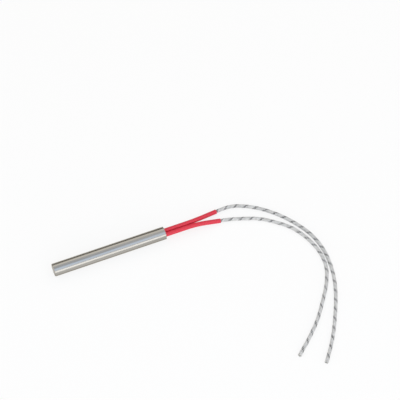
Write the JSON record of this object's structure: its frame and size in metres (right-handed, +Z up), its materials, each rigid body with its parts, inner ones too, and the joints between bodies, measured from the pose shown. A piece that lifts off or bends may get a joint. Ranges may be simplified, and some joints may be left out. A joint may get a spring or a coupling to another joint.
{
  "type": "cartridge heater",
  "caption": "Slim round steel heating cartridge with a closed flat end, red sleeved joints at its open end and braided leads, for a drilled hole in a die, mould or press platen.",
  "frame": {"origin": "centre of the sheath's open end, on the sheath's axis", "axes": "+X along the sheath's axis, out of the open end towards the leads; +Z up, as the heater lies on its side"},
  "size_m": [0.2, 0.1538, 0.01],
  "materials": {
    "sheath_steel": "ground and polished stainless steel",
    "magnesia": "matt magnesia ceramic and compacted powder",
    "resistance_wire": "drawn nickel-chrome wire, dull grey",
    "cement": "matt cream sealing cement",
    "nickel": "drawn nickel, satin",
    "sleeve_red": "satin red silicone coat on a glass-fibre braid",
    "glass_braid": "white glass-fibre braid with one black tracer yarn"
  },
  "bodies": {
    "root": {"sheath": "sheath_steel", "end_disc": "sheath_steel", "base_insulator": "magnesia", "winding_core": "magnesia", "heating_coil": "resistance_wire", "powder_fill": "magnesia", "lead_end_insulator": "magnesia", "end_seal": "cement", "terminal_pin_a": "nickel", "terminal_pin_b": "nickel", "crimp_a": "nickel", "crimp_b": "nickel", "conductor_a": "nickel", "conductor_b": "nickel", "sleeve_a": "sleeve_red", "sleeve_b": "sleeve_red", "lead_a": "glass_braid", "lead_b": "glass_braid"}
  },
  "joints": []
}
